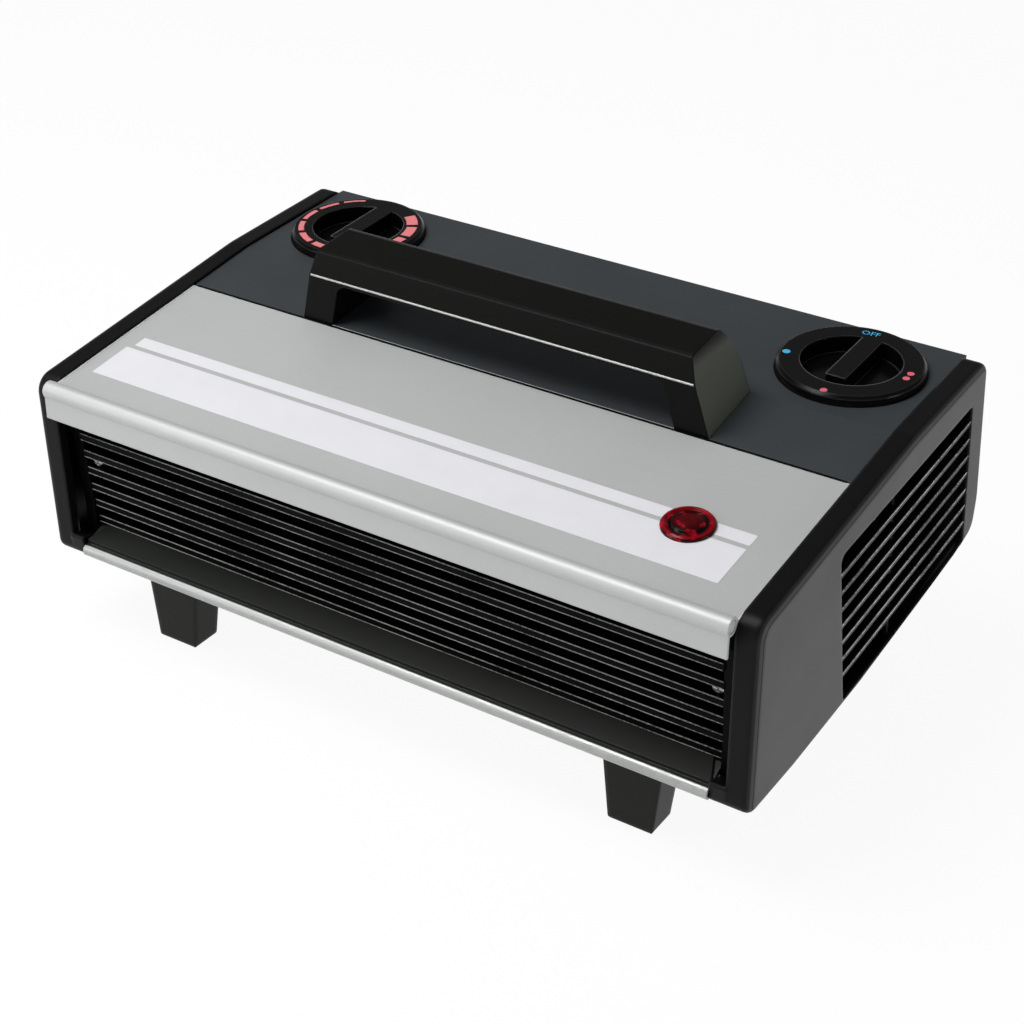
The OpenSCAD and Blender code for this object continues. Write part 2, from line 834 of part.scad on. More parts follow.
// indicator: red lens snapped through the panel, clip, lamp and holder
module indicator_lens() {
    color([0.5, 0.02, 0.06])
        on_front(lens_x, lens_y)
            difference() {
                rotate_extrude()
                    polygon([
                        [0, 3.4],
                        [lens_r * 0.35, 3.2],
                        [lens_r * 0.6, 2.4],
                        [lens_r * 0.66, 1.4],
                        [lens_r * 0.78, 1.2],
                        [lens_r * 0.86, 2],
                        [lens_r - 0.5, 1.6],
                        [lens_r, 1],
                        [lens_r, 0],
                        [lens_r - 3, 0],
                        [lens_r - 3, -8],
                        [0, -8]]);
                translate([0, 0, -9])
                    cylinder(h = 9.6, r = lens_r - 4.2);
            }
}
module indicator_clip() {
    color([0.7, 0.7, 0.68])
        on_front(lens_x, lens_y)
            tube(lens_r, lens_r - 3 + seat_fit, -sheet_t - 1, -sheet_t);
}
module neon_lamp() {
    color([0.9, 0.5, 0.3])
        on_front(lens_x, lens_y) {
            translate([0, 0, -9])
                cylinder(h = 6.5, r = 3);
            translate([0, 0, -2.5])
                sphere(r = 3);
        }
}
module neon_holder() {
    color([0.85, 0.84, 0.8])
        on_front(lens_x, lens_y)
            difference() {
                translate([0, 0, -12])
                    cylinder(h = 4, r = lens_r - 3);
                translate([0, 0, -9])
                    cylinder(h = 4, r = 3 + seat_fit);
            }
}

// fan: shaft, rotor, two squirrel-cage impellers, bushes
axis_y = 118;
cover_gap = 4.4;
scroll_r = fan_r + 4.5;
scroll_t = 1.5;
axis_z = surf(axis_y) - wall_t - cover_gap - scroll_t - scroll_r;
fan_x0 = 70;
scroll_x0 = fan_x0 - 3.5;
shaft_half = scroll_x0 + fan_w + 10;
fan_x1 = fan_x0 + fan_w + 1.5;
bracket_x = stack_w / 2 + 12;
module fan_shaft() {
    color([0.75, 0.76, 0.78])
        rod_x(-shaft_half, shaft_half, axis_y, axis_z, shaft_r);
}
module motor_rotor() {
    color([0.5, 0.5, 0.5])
        difference() {
            rod_x(-stack_w / 2 - 1, stack_w / 2 + 1, axis_y, axis_z, rotor_r);
            rod_x(-stack_w, stack_w, axis_y, axis_z, shaft_r + seat_fit);
        }
}
// one forward-curved blade, seen along the shaft
module fan_blade() {
    intersection() {
        translate([fan_r - 6, 5])
            difference() {
                circle(6.6);
                circle(5.6);
            }
        translate([fan_r - 6.6, -2.2])
            square([6.2, 6]);
    }
}
module impeller_shape() {
    translate([fan_x0, axis_y - y_mid, axis_z])
        rotate([90, 0, 90]) {
            difference() {
                union() {
                    cylinder(h = 1.5, r = fan_r);
                    cylinder(h = 15, r = 7);
                }
                translate([0, 0, -eps])
                    cylinder(h = 20, r = shaft_r + seat_fit);
            }
            for (i = [0 : fan_blades - 1])
                rotate(i * 360 / fan_blades)
                    translate([0, 0, 1])
                        linear_extrude(fan_w - 0.5)
                            fan_blade();
            tube(fan_r, fan_r - 5, fan_w - 0.5, fan_w + 1.5);
        }
}
module left_impeller() {
    color([0.18, 0.18, 0.19]) mirror([1, 0, 0]) impeller_shape();
}
module right_impeller() {
    color([0.18, 0.18, 0.19]) impeller_shape();
}

// motor: laminated stator, coil on its rear limb, brackets with bushes
module laid_back() {
    translate([0, axis_y - y_mid, axis_z])
        rotate([90, 0, 0])
            translate([0, y_mid - axis_y, -axis_z])
                children();
}
limb_t = 8;
limb_drop = 29.5;
limb_high = axis_z - limb_drop;
limb_low = limb_high - limb_t;
bolt_reach = 24;
bolt_back = 4;
module motor_stator() {
    color([0.35, 0.35, 0.37])
        laid_back()
            difference() {
                along_x(-stack_w / 2, stack_w / 2)
                    difference() {
                        rounded([
                            [axis_y - 30, limb_low],
                            [axis_y - 30, axis_z + 24],
                            [axis_y + 30, axis_z + 24],
                            [axis_y + 30, limb_low]], [2, 10, 10, 2]);
                        translate([axis_y, axis_z])
                            circle(rotor_r + 0.4);
                        translate([axis_y - 21, limb_high])
                            square([42, 9.5]);
                    }
                for (s = [-1, 1])
                    rod_x(-stack_w, stack_w, axis_y + s * bolt_reach, axis_z - bolt_back,
                        screw_r + screw_fit);
            }
}
module motor_coil() {
    color([0.6, 0.3, 0.12])
        laid_back()
            difference() {
                along_x(-stack_w / 2 - 9, stack_w / 2 + 9)
                    rounded([
                        [axis_y - 17, limb_low - 7],
                        [axis_y - 17, limb_high + 8],
                        [axis_y + 17, limb_high + 8],
                        [axis_y + 17, limb_low - 7]], [3, 3, 3, 3]);
                block(-stack_w / 2 - seat_fit, stack_w / 2 + seat_fit, axis_y - 20, axis_y + 20,
                    limb_low - seat_fit, limb_high + seat_fit);
            }
}
module bracket_shape() {
    difference() {
        union() {
            along_x(bracket_x, bracket_x + 1.5)
                rounded([
                    [axis_y - 34, base_top],
                    [axis_y - 34, base_top + 14],
                    [axis_y - 14, axis_z + 31],
                    [axis_y + 18, axis_z + 31],
                    [axis_y + 34, base_top + 14],
                    [axis_y + 34, base_top]], [0.5, 10, 8, 8, 10, 0.5]);
            block(bracket_x, bracket_x + 12, axis_y - 34, axis_y + 34, base_top, base_top + 1.5);
            for (s = [-1, 1])
                rod_x(stack_w / 2, bracket_x + eps, axis_y + bolt_back, axis_z + s * bolt_reach, 4);
        }
        rod_x(bracket_x - 5, bracket_x + 5, axis_y, axis_z, shaft_r + 3 + seat_fit);
        for (s = [-1, 1])
            rod_x(0, bracket_x + 20, axis_y + bolt_back, axis_z + s * bolt_reach, screw_r + screw_fit);
        for (s = [-1, 1])
            rod_x(bracket_x - eps, bracket_x + 2, axis_y + s * 21, base_top + 12, 6);
    }
}
module left_motor_bracket() {
    color([0.66, 0.67, 0.68]) mirror([1, 0, 0]) bracket_shape();
}
module right_motor_bracket() {
    color([0.66, 0.67, 0.68]) bracket_shape();
}
module bearing_bushes() {
    color([0.7, 0.55, 0.3])
        for (s = [0, 1])
            mirror([s, 0, 0])
                difference() {
                    union() {
                        rod_x(bracket_x - 2.5, bracket_x + 5.5, axis_y, axis_z, shaft_r + 3);
                        rod_x(bracket_x - 2.5, bracket_x, axis_y, axis_z, shaft_r + 4.5);
                    }
                    rod_x(bracket_x - 10, bracket_x + 10, axis_y, axis_z, shaft_r + run_fit);
                }
}
module motor_bolts() {
    color([0.7, 0.7, 0.7])
        for (s = [-1, 1])
            translate([bracket_x + 1.5, axis_y + bolt_back - y_mid, axis_z + s * bolt_reach])
                rotate([0, -90, 0])
                    screw(2 * bracket_x + 6);
}

// scroll housings, open to the front and with a round inlet at the outer end
scroll_x1 = fan_x1 + 4;
mouth_y = 80;
module scroll_area(grow, reach) {
    translate([axis_y, axis_z])
        circle(scroll_r + grow);
    translate([mouth_y - reach, axis_z - scroll_r - grow])
        square([axis_y - mouth_y + reach, scroll_r + 8 + 2 * grow]);
}
module scroll_shape() {
    difference() {
        union() {
            along_x(scroll_x0, scroll_x1)
                scroll_area(scroll_t, 0);
            for (x = [scroll_x0, scroll_x1 - 8], y = [axis_y - 26, axis_y + 14])
                block(x, x + 8, y, y + 8, base_top, axis_z - 20);
        }
        along_x(scroll_x0 + scroll_t, scroll_x1 - scroll_t)
            scroll_area(0, 5);
        rod_x(scroll_x0 - eps, scroll_x0 + 5, axis_y, axis_z, 8);
        rod_x(scroll_x1 - 5, scroll_x1 + eps, axis_y, axis_z, fan_r - 4);
    }
}
module left_scroll() {
    color([0.62, 0.63, 0.63]) mirror([1, 0, 0]) scroll_shape();
}
module right_scroll() {
    color([0.62, 0.63, 0.63]) scroll_shape();
}

// heater duct with two zigzag ribbons on upright mica boards
duct_x = x_in - 20;
duct_top = grille_top - 2;
duct_y0 = grille_back;
duct_y1 = mouth_y;
ribbon_y0 = duct_y0 + 14;
ribbon_y1 = duct_y1 - 18;
ribbon_rows = [base_top + 20, base_top + 42];
ribbon_half = duct_x - 10;
board_x = [-ribbon_half * 0.8, -ribbon_half * 0.27, ribbon_half * 0.27, ribbon_half * 0.8];
module heater_duct() {
    color([0.68, 0.69, 0.7])
        difference() {
            union() {
                block(-duct_x, duct_x, duct_y0, duct_y1, base_top, duct_top);
                for (s = [0, 1])
                    mirror([s, 0, 0])
                        block(duct_x - eps, x_in - 3, duct_y0, duct_y0 + sheet_t, base_top + 4, duct_top);
            }
            block(-duct_x + sheet_t, duct_x - sheet_t, duct_y0 - eps, duct_y1 + eps,
                base_top + sheet_t, duct_top - sheet_t);
            for (s = [-1, 1])
                rod_y(s * (grille_x0 - 4), duct_y0 - eps, duct_y0 + 5, tab_z, screw_r + screw_fit);
        }
}
module mica_boards() {
    color([0.8, 0.74, 0.6])
        for (x = board_x)
            difference() {
                block(x - 0.6, x + 0.6, duct_y0 + 6, duct_y1 - 6, base_top + sheet_t, duct_top - sheet_t);
                for (z = ribbon_rows)
                    block(x - 2, x + 2, ribbon_y0 - 2, ribbon_y1 + 6,
                        z - ribbon_h / 2, z + ribbon_h / 2 + 0.5);
            }
}
// zigzag seen from above, one unbroken strip
function zig(i) = [
    -ribbon_half + i * 2 * ribbon_half / (2 * ribbon_n),
    i % 2 == 0 ? ribbon_y0 : ribbon_y1];
module ribbon(z) {
    step = ribbon_half / ribbon_n;
    shift = [0, ribbon_t * norm([step, ribbon_y1 - ribbon_y0]) / step];
    translate([0, -y_mid, z - ribbon_h / 2])
        linear_extrude(ribbon_h)
            polygon(concat(
                [for (i = [0 : 2 * ribbon_n]) zig(i)],
                [for (i = [2 * ribbon_n : -1 : 0]) zig(i) + shift]));
}
module lower_ribbon() {
    color([0.55, 0.5, 0.47]) ribbon(ribbon_rows[0]);
}
module upper_ribbon() {
    color([0.55, 0.5, 0.47]) ribbon(ribbon_rows[1]);
}
module thermal_cutout() {
    color([0.2, 0.2, 0.2]) {
        rod_z(0, duct_y0 + 24, duct_top, duct_top + 7, 9);
        for (s = [-1, 1])
            block(s * 5 - 2.4, s * 5 + 2.4, duct_y0 + 23.6, duct_y0 + 24.4, duct_top + 6.5, duct_top + 13);
    }
}

// mains entry: gland in the rear panel and a terminal block on the tray
block_x = gland_x;
block_d = 16;
block_y = foot_ys[1] - head_r - head_gap - block_d - 0.5;
module terminal_block() {
    color([0.88, 0.87, 0.83])
        difference() {
            block(block_x - 20, block_x + 20, block_y, block_y + block_d, base_top, base_top + 15);
            for (i = [-1 : 1]) {
                rod_y(block_x + i * 12, block_y - eps, block_y + block_d + eps, base_top + 6, 2.6);
                rod_z(block_x + i * 12, block_y + block_d / 2, base_top + 6, base_top + 16, 2.2);
            }
        }
}
module terminal_screws() {
    color([0.78, 0.68, 0.4])
        for (i = [-1 : 1])
            difference() {
                rod_z(block_x + i * 12, block_y + block_d / 2, base_top + 5, base_top + 13.6, 2.1);
                block(block_x + i * 12 - 3, block_x + i * 12 + 3, block_y + block_d / 2 - 0.4,
                    block_y + block_d / 2 + 0.4,
                    base_top + 12.6, base_top + 14);
            }
}
gland_tail = body_d - 3;
module cord_gland() {
    color([0.1, 0.1, 0.1])
        translate([gland_x, back_y - y_mid, gland_z])
            rotate([-90, 0, 0])
                difference() {
                    union() {
                        translate([0, 0, -6])
                            cylinder(h = 14, r = gland_r);
                        translate([0, 0, -3.5])
                            cylinder(h = 3.5, r = gland_r + 2);
                        translate([0, 0, sheet_t])
                            cylinder(h = 3, r = gland_r + 3);
                        translate([0, 0, sheet_t + 2])
                            cylinder(h = gland_tail - back_y - sheet_t - 2, r1 = gland_r, r2 = lead_r + 1.6);
                    }
                    translate([0, 0, -10])
                        cylinder(h = 60, r = lead_r);
                }
}

left_end_cap();
right_end_cap();
front_panel();
top_cover();
base_tray();
front_apron();
outlet_grille();
grille_screws();
rear_panel();
rear_screws();
cap_screws();
carry_handle();
handle_screws();
front_left_foot();
front_right_foot();
rear_left_foot();
rear_right_foot();
foot_screws();
thermostat_knob();
thermostat_spindle();
thermostat_nut();
thermostat_body();
selector_knob();
selector_spindle();
selector_nut();
selector_switch();
indicator_lens();
indicator_clip();
neon_lamp();
neon_holder();
fan_shaft();
motor_rotor();
left_impeller();
right_impeller();
motor_stator();
motor_coil();
left_motor_bracket();
right_motor_bracket();
bearing_bushes();
motor_bolts();
left_scroll();
right_scroll();
heater_duct();
mica_boards();
lower_ribbon();
upper_ribbon();
thermal_cutout();
terminal_block();
terminal_screws();
cord_gland();
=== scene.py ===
import math

import bmesh
import bpy
from mathutils import Matrix, Vector


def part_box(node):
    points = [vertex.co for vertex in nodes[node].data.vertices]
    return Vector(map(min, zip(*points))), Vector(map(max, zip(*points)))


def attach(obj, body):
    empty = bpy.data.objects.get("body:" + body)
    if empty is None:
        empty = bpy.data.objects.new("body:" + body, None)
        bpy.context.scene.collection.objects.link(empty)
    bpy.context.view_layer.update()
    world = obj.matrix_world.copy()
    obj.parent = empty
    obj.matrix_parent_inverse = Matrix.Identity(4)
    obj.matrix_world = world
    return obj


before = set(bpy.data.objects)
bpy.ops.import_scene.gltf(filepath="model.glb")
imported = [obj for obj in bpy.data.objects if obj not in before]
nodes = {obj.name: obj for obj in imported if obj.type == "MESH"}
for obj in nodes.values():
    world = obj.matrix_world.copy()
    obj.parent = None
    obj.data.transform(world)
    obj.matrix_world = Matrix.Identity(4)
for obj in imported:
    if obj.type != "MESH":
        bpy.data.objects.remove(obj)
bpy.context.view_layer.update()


# The tray is the floor of the case, folded from zinc-coated sheet, and it carries the fan and the heater.
# Its front edge is rolled into the rail below the outlet. The rail is left bare and is buffed along its
# length. The rest of the tray is coloured black, as painted shade for where it lies in the dark under the
# apron.
class Value:
    """A shader socket that can stand in a sum."""

    def __init__(self, tree, socket):
        self.tree = tree
        self.socket = socket

    def sum(self, operation, first, second):
        node = self.tree.nodes.new("ShaderNodeMath")
        node.operation = operation
        for place, term in enumerate((first, second)):
            if isinstance(term, Value):
                self.tree.links.new(term.socket, node.inputs[place])
            else:
                node.inputs[place].default_value = term
        return Value(self.tree, node.outputs[0])

    def __add__(self, other):
        return self.sum("ADD", self, other)

    def __radd__(self, other):
        return self.sum("ADD", other, self)

    def __sub__(self, other):
        return self.sum("SUBTRACT", self, other)

    def __rsub__(self, other):
        return self.sum("SUBTRACT", other, self)

    def __mul__(self, other):
        return self.sum("MULTIPLY", self, other)

    def __rmul__(self, other):
        return self.sum("MULTIPLY", other, self)


class Finish:
    """One material, with its shader and a single way to add any other node."""

    def __init__(self, name, **constants):
        self.material = bpy.data.materials.new(name)
        self.material.use_nodes = True
        self.tree = self.material.node_tree
        self.shader = self.tree.nodes["Principled BSDF"]
        for socket, constant in constants.items():
            self.shader.inputs[socket.replace("_", " ")].default_value = constant
        self.place = self.node("ShaderNodeTexCoord", output="Object")

    def node(self, kind, settings=None, inputs=None, output=0):
        made = self.tree.nodes.new(kind)
        for setting, choice in (settings or {}).items():
            if setting == "stops":
                for place, colour in choice:
                    made.color_ramp.elements.new(place).color = colour
                made.color_ramp.elements.remove(made.color_ramp.elements[0])
                made.color_ramp.elements.remove(made.color_ramp.elements[-1])
            else:
                setattr(made, setting, choice)
        for socket, value in (inputs or {}).items():
            self.feed(made.inputs[socket], value)
        return Value(self.tree, made.outputs[output])

    def feed(self, socket, value):
        if isinstance(value, Value):
            self.tree.links.new(value.socket, socket)
        else:
            socket.default_value = value

    def noise(self, scale, detail=2, stretch=(1, 1, 1)):
        place = self.node("ShaderNodeMapping", inputs={"Vector": self.place, "Scale": stretch})
        return self.node("ShaderNodeTexNoise", inputs={"Vector": place, "Scale": scale, "Detail": detail})

    def blend(self, share, first, second):
        return self.node("ShaderNodeMix", {"data_type": "RGBA"}, {0: share, 6: first, 7: second}, output=2)

    def ramp(self, value, low, high):
        """Zero up to a low value, and one past a high one."""
        return self.node("ShaderNodeMapRange", inputs={"Value": value, "From Min": low, "From Max": high})

    def outward(self, axis, near, far):
        """Zero up to one distance from the middle along an axis, and one past another."""
        along = self.node("ShaderNodeSeparateXYZ", inputs={"Vector": self.place}, output=axis)
        reach = self.node("ShaderNodeMath", {"operation": "ABSOLUTE"}, {0: along})
        return self.ramp(reach, near, far)

    def edge_nearness(self, radius):
        """The normal of a rounded edge, and how near a point is to one."""
        spread = 4
        rounded = self.node("ShaderNodeBevel", {"samples": 6}, {"Radius": radius})
        flat = self.node("ShaderNodeNewGeometry", output="Normal")
        facing = self.node(
            "ShaderNodeVectorMath", {"operation": "DOT_PRODUCT"}, {0: rounded, 1: flat}, output="Value"
        )
        edge = self.node(
            "ShaderNodeMath", {"operation": "MULTIPLY", "use_clamp": True}, {0: 1 - facing, 1: spread}
        )
        return rounded, edge

    def surface(self, colour, roughness, height, depth, rounded):
        self.feed(self.shader.inputs["Base Color"], colour)
        self.feed(self.shader.inputs["Roughness"], roughness)
        bump = self.node(
            "ShaderNodeBump",
            inputs={"Strength": 1.0, "Distance": depth, "Height": height, "Normal": rounded},
        )
        self.feed(self.shader.inputs["Normal"], bump)


def shaded(colour, share):
    """A colour made darker or paler, with full cover."""
    return (*(share * c for c in colour), 1)


def coated_steel(name, colour, roughness, crystal, metal, shine=0.5, bare_below=None):
    """Sheet metal with crystals and drawing lines along X, perhaps coloured black above a height as painted
    shade.
    """
    line_scale = 2400
    line_depth = 0.000012
    fold_radius = 0.0006
    paint_step = 0.0001
    shade_black_tone = (0.006, 0.0063, 0.006, 1)
    finish = Finish(name, Metallic=metal, Specular_IOR_Level=shine)
    patch = finish.node(
        "ShaderNodeTexVoronoi", inputs={"Vector": finish.place, "Scale": crystal}, output="Color"
    )
    tint = finish.node("ShaderNodeSeparateColor", inputs={"Color": patch}, output=0)
    line = finish.noise(line_scale, 2, (0.02, 1, 1))
    rounded, edge = finish.edge_nearness(fold_radius)
    tone = finish.blend(0.55 * tint + 0.45 * line, shaded(colour, 0.86), shaded(colour, 1.1))
    gloss = roughness + 0.14 * (tint - 0.5) + 0.12 * (line - 0.5) - 0.08 * edge
    # Above the height the tone is black: painted shade where the tray lies under the apron.
    if bare_below is not None:
        in_shade = finish.outward("Z", bare_below, bare_below + paint_step)
        tone = finish.blend(in_shade, tone, shade_black_tone)
        finish.feed(finish.shader.inputs["Metallic"], metal * (1 - in_shade))
        gloss = gloss + 0.15 * in_shade
    finish.surface(tone, gloss, line, line_depth, rounded)
    return finish.material


def dress(material, *names):
    """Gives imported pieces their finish."""
    for name in names:
        nodes[name].data.materials.clear()
        nodes[name].data.materials.append(material)


rail_top = 0.0466
tray_zinc = coated_steel(
    "tray zinc", (0.38, 0.39, 0.38), roughness=0.42, crystal=110, metal=0.5, bare_below=rail_top
)
dress(tray_zinc, "base_tray")


# The feet are four tapered blocks of charcoal plastic, each held by one screw driven down through the tray.
# They are moulded with a deep spark-eroded grain, and their paler edges are part wear, part painted
# highlight.
def moulded(name, colour, roughness, grain, depth, edge_radius, rubbed_and_lit, shine, lit_side=None):
    """Plastic with a fine grain, a cloudy tone and paler edges, part rubbed and part painted highlight.

    A side painted paler, as lit by a side light, is given as the two distances along X between which it sets
    in, the distance short of which square faces stay dark, and its gain.
    """
    cloud_scale = 28
    scuff_scale = 160
    finish = Finish(name, Specular_IOR_Level=shine)
    fine = finish.noise(grain, 3)
    cloud = finish.noise(cloud_scale, 4)
    scuff = finish.noise(scuff_scale, 5, (1, 0.25, 1))
    rounded, edge = finish.edge_nearness(edge_radius)
    # Edges are lifted towards a paler tone, part wear and part painted highlight.
    rubbed_or_lit = (*(c + rubbed_and_lit for c in colour), 1)
    skin = finish.blend(cloud, shaded(colour, 0.86), shaded(colour, 1.16))
    if lit_side:
        near, far, flush, gain = lit_side
        square_limit = 0.95
        set_back_step = 0.0001
        normal = finish.node("ShaderNodeNewGeometry", output="Normal")
        across = finish.node("ShaderNodeSeparateXYZ", inputs={"Vector": normal}, output="X")
        turned = across * across
        square = finish.node("ShaderNodeMath", {"operation": "GREATER_THAN"}, {0: turned, 1: square_limit})
        set_back = square * (1 - finish.outward("X", flush - set_back_step, flush))
        sideways = finish.ramp(turned, 0.2, 0.5)
        # The side's paler tone is painted light, a sheen from a side lamp.
        paler = (*(gain * (c + 0.001) for c in colour), 1)
        skin = finish.blend(finish.outward("X", near, far) * sideways * (1 - set_back), skin, paler)
    tone = finish.blend(edge * (0.35 + 0.9 * scuff), skin, rubbed_or_lit)
    gloss = roughness + 0.16 * (cloud - 0.5) + 0.14 * (fine - 0.5) - 0.12 * edge
    finish.surface(tone, gloss, fine, depth, rounded)
    return finish.material


foot_plastic = moulded(
    "foot plastic",
    (0.011, 0.011, 0.0098),
    roughness=0.45,
    grain=1700,
    depth=0.00005,
    edge_radius=0.003,
    rubbed_and_lit=0.02,
    shine=0.12,
)
dress(foot_plastic, "front_left_foot", "front_right_foot", "rear_left_foot", "rear_right_foot")

# The fan is a motor between two squirrel-cage impellers, held by two brackets that stand on the tray.
# The motor is stacked iron with a varnished copper coil, its shaft runs in sintered bronze, the impellers are
# moulded, and each turns in a scroll of blued sheet steel.
plated_steel = coated_steel("plated steel", (0.58, 0.58, 0.57), roughness=0.3, crystal=900, metal=0.95)
dress(plated_steel, "fan_shaft", "left_motor_bracket", "right_motor_bracket", "motor_bolts")
stacked_iron = coated_steel("stacked iron", (0.26, 0.26, 0.27), roughness=0.48, crystal=400, metal=0.7)
dress(stacked_iron, "motor_rotor", "motor_stator")
wire_scale = 2600
wire_depth = 0.00008
varnish_scale = 90
copper_dark = (0.35, 0.12, 0.05, 1)
copper_bright = (0.62, 0.26, 0.12, 1)
copper = Finish("copper wire", Metallic=0.9)
turns = copper.noise(wire_scale, 1, (1, 1, 0.05))
varnish = copper.noise(varnish_scale, 2)
copper_rounded, copper_edge = copper.edge_nearness(0.0005)
copper.surface(
    copper.blend(0.6 * turns + 0.4 * varnish, copper_dark, copper_bright),
    0.3 + 0.2 * turns - 0.05 * copper_edge,
    turns,
    wire_depth,
    copper_rounded,
)
dress(copper.material, "motor_coil")
sintered = coated_steel("sintered bronze", (0.45, 0.33, 0.2), roughness=0.5, crystal=1400, metal=0.9)
dress(sintered, "bearing_bushes")
impeller_plastic = moulded(
    "impeller plastic",
    (0.03, 0.03, 0.031),
    roughness=0.45,
    grain=1300,
    depth=0.00002,
    edge_radius=0.0004,
    rubbed_and_lit=0.03,
    shine=0.4,
)
dress(impeller_plastic, "left_impeller", "right_impeller")
# The near-black is partly the bluing and partly painted shade inside the case.
blued_steel_and_shade = coated_steel("blued steel and shade", (0.018, 0.018, 0.02), roughness=0.5, crystal=130, metal=0.2)
dress(blued_steel_and_shade, "left_scroll", "right_scroll")

# The heater is two zigzag resistance ribbons threaded through upright mica boards, in a blued steel duct.
# The mica is split and pressed in layers, and the ribbons and the cut-out are dulled by heat.
# The duct's near-black tone is partly painted shade inside the case.
dress(blued_steel_and_shade, "heater_duct")
layer_scale = 420
layer_depth = 0.00003
mica_dark = (0.1, 0.08, 0.05, 1)
mica_pale = (0.2, 0.16, 0.11, 1)
mica = Finish("mica board", Coat_Weight=0.15)
layers = mica.noise(layer_scale, 4, (1, 1, 0.2))
mica_rounded, mica_edge = mica.edge_nearness(0.0003)
mica.surface(
    mica.blend(layers, mica_dark, mica_pale),
    0.3 + 0.25 * layers - 0.05 * mica_edge,
    layers,
    layer_depth,
    mica_rounded,
)
dress(mica.material, "mica_boards")
ribbon_alloy = coated_steel("ribbon alloy", (0.12, 0.11, 0.105), roughness=0.45, crystal=800, metal=0.7)
dress(ribbon_alloy, "lower_ribbon", "upper_ribbon", "thermal_cutout")

# The mains block is moulded in cream plastic with brass clamping screws, and stands on the tray.
# The thermostat and the rotary switch hang under the cover in dark phenolic cases, each with a flatted brass
# spindle and held by a plated nut under its dial.
cream_plastic = moulded(
    "cream plastic",
    (0.72, 0.69, 0.6),
    roughness=0.42,
    grain=2200,
    depth=0.00001,
    edge_radius=0.0003,
    rubbed_and_lit=0.05,
    shine=0.5,
)
dress(cream_plastic, "terminal_block")
brass = coated_steel("spindle brass", (0.62, 0.47, 0.2), roughness=0.34, crystal=900, metal=1.0)
dress(brass, "terminal_screws", "thermostat_spindle", "selector_spindle")
phenolic = moulded(
    "phenolic",
    (0.03, 0.024, 0.02),
    roughness=0.38,
    grain=1100,
    depth=0.00002,
    edge_radius=0.0004,
    rubbed_and_lit=0.03,
    shine=0.5,
)
dress(phenolic, "thermostat_body", "selector_switch")
dress(plated_steel, "thermostat_nut", "selector_nut")

# The back is a steel sheet in dark stove enamel with two rows of slots, screwed to the tray along its foot.
# The lead's gland is a rubber moulding pushed into a hole in it.
back_enamel = coated_steel("back enamel", (0.045, 0.047, 0.049), roughness=0.45, crystal=260, metal=0.1)
dress(back_enamel, "rear_panel")
gland_rubber = moulded(
    "gland rubber",
    (0.014, 0.014, 0.014),
    roughness=0.6,
    grain=900,
    depth=0.00003,
    edge_radius=0.0008,
    rubbed_and_lit=0.02,
    shine=0.3,
)
dress(gland_rubber, "cord_gland")

# The apron is a dark green-grey plate that slopes from the lowest blade to the rail, on the tray's front.
# It is moulded with a satin skin, and its ends are cut on the slant.
apron_plastic = moulded(
    "apron plastic",
    (0.010, 0.0118, 0.0098),
    roughness=0.42,
    grain=1500,
    depth=0.00002,
    edge_radius=0.0006,
    rubbed_and_lit=0.04,
    shine=0.1,
)
dress(apron_plastic, "front_apron")

# The louvre is black enamelled steel: sloping blades between two end plates, on upright stays, with one screw
# at each end. Each blade's front edge is turned down in a lip, and broken pale lines along the lip's two
# edges are painted highlights.
black_enamel = coated_steel(
    "black enamel", (0.0015, 0.0015, 0.0016), roughness=0.45, crystal=300, metal=0.0, shine=0.04
)
dress(black_enamel, "outlet_grille")
front_y = -0.1095
blade_count = 6
blade_pitch = 0.0092
blade_low = 0.0571
blade_lean = 0.0013
blade_lip = 0.0035
blade_front = 0.0135
blade_half = 0.1628
lip_edge_r = 0.00024
lip_inset = 0.0002
lip_sink = 0.0001


def painted_highlight_line(name, bright):
    """A broken pale line painted along a black edge as a highlight."""
    break_scale = 800
    fade_scale = 26
    scratch_depth = 0.00001
    finish = Finish(name, Specular_IOR_Level=0.3)
    breaks = finish.noise(break_scale, 2)
    fade = finish.noise(fade_scale, 2)
    lit_share = finish.ramp(0.5 * breaks + 0.5 * fade, 0.38, 0.56)
    rounded, edge = finish.edge_nearness(0.0001)
    unlit_tone = (0.12 * bright, 0.12 * bright, 0.12 * bright, 1)
    highlight_tone = (bright, bright, 0.97 * bright, 1)
    gloss = 0.4 - 0.1 * lit_share - 0.05 * edge
    finish.surface(finish.blend(lit_share, unlit_tone, highlight_tone), gloss, breaks, scratch_depth, rounded)
    return finish.material


def bead(shape, start, end, radius):
    """A thin rounded edge from one point to another."""
    along = Vector(end) - Vector(start)
    ring = bmesh.ops.create_circle(shape, cap_ends=True, segments=10, radius=radius)["verts"]
    turn = along.to_track_quat("Z", "Y").to_matrix()
    bmesh.ops.rotate(shape, cent=(0, 0, 0), matrix=turn, verts=ring)
    bmesh.ops.translate(shape, vec=start, verts=ring)
    cap = [f for f in shape.faces if all(v in ring for v in f.verts)]
    grown = bmesh.ops.extrude_face_region(shape, geom=cap)["geom"]
    ends = [g for g in grown if isinstance(g, bmesh.types.BMVert)]
    bmesh.ops.translate(shape, vec=along, verts=ends)
    bmesh.ops.recalc_face_normals(shape, faces=shape.faces)


def long_bead(shape, half, back, height, radius):
    """A bead across the width, given its distance behind the front and its height."""
    bead(shape, (-half, front_y + back, height), (half, front_y + back, height), radius)


def add_piece(name, shape, material, body):
    """Turns a bmesh into an object that rides on a body."""
    mesh = bpy.data.meshes.new(name)
    shape.to_mesh(mesh)
    shape.free()
    mesh.materials.append(material)
    piece = bpy.data.objects.new(name, mesh)
    bpy.context.scene.collection.objects.link(piece)
    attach(piece, body)


